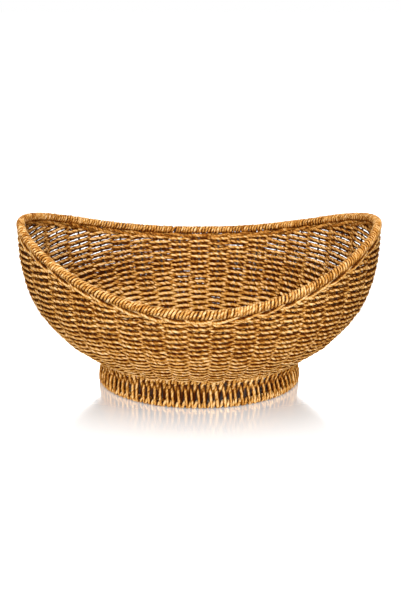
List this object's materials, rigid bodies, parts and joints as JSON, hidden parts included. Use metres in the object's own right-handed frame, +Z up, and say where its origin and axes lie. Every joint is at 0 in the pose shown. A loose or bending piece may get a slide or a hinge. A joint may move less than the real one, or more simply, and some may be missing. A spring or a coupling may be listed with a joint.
{
  "type": "oval organizer basket",
  "caption": "Oval footed basket of twisted rope woven over a wire frame, boat shaped with high ends, a wrapped rim and a laced foot ring, for holding small things.",
  "frame": {"origin": "on the surface that the basket stands on, under the middle of its length and width", "axes": "+X along the length towards one high end, -Y towards the front, +Z up"},
  "size_m": [0.3786, 0.294, 0.1803],
  "materials": {
    "wall_rope": "twisted natural-fibre rope, golden tan with dark brown crevices, dry with a slight sheen",
    "floor_rope": "the same twisted rope in the shade of the bowl",
    "edge_rope": "the same twisted rope in long floats under the rim",
    "rim_rope": "lighter cord wound closely round the rim wire",
    "foot_rope": "twisted rope laced and wound round the foot ring",
    "frame_wire": "dark coated steel wire"
  },
  "bodies": {
    "root": {"rim_hoop_wire": "frame_wire", "base_hoop_wire": "frame_wire", "foot_hoop_wire": "frame_wire", "rim_wrap_left": "rim_rope", "rim_wrap_right": "rim_rope", "edge_row": "edge_rope", "wall_weave_lower": "wall_rope", "wall_weave_upper": "wall_rope", "floor_weave": "floor_rope", "foot_lacing": "foot_rope", "foot_ring_wrap": "foot_rope", "floor_wire_1": "frame_wire", "floor_wire_2": "frame_wire", "floor_wire_3": "frame_wire", "floor_wire_4": "frame_wire", "floor_wire_5": "frame_wire", "floor_wire_6": "frame_wire", "floor_wire_7": "frame_wire", "foot_post_1": "frame_wire", "foot_post_2": "frame_wire", "foot_post_3": "frame_wire", "foot_post_4": "frame_wire", "foot_post_5": "frame_wire", "foot_post_6": "frame_wire", "stake_01": "frame_wire", "stake_02": "frame_wire", "stake_03": "frame_wire", "stake_04": "frame_wire", "stake_05": "frame_wire", "stake_06": "frame_wire", "stake_07": "frame_wire", "stake_08": "frame_wire", "stake_09": "frame_wire", "stake_10": "frame_wire", "stake_11": "frame_wire", "stake_12": "frame_wire", "stake_13": "frame_wire", "stake_14": "frame_wire", "stake_15": "frame_wire", "stake_16": "frame_wire", "stake_17": "frame_wire", "stake_18": "frame_wire", "stake_19": "frame_wire", "stake_20": "frame_wire", "stake_21": "frame_wire", "stake_22": "frame_wire", "stake_23": "frame_wire", "stake_24": "frame_wire", "stake_25": "frame_wire", "stake_26": "frame_wire", "stake_27": "frame_wire", "stake_28": "frame_wire", "stake_29": "frame_wire", "stake_30": "frame_wire", "stake_31": "frame_wire", "stake_32": "frame_wire", "stake_33": "frame_wire", "stake_34": "frame_wire", "stake_35": "frame_wire", "stake_36": "frame_wire"}
  },
  "joints": []
}
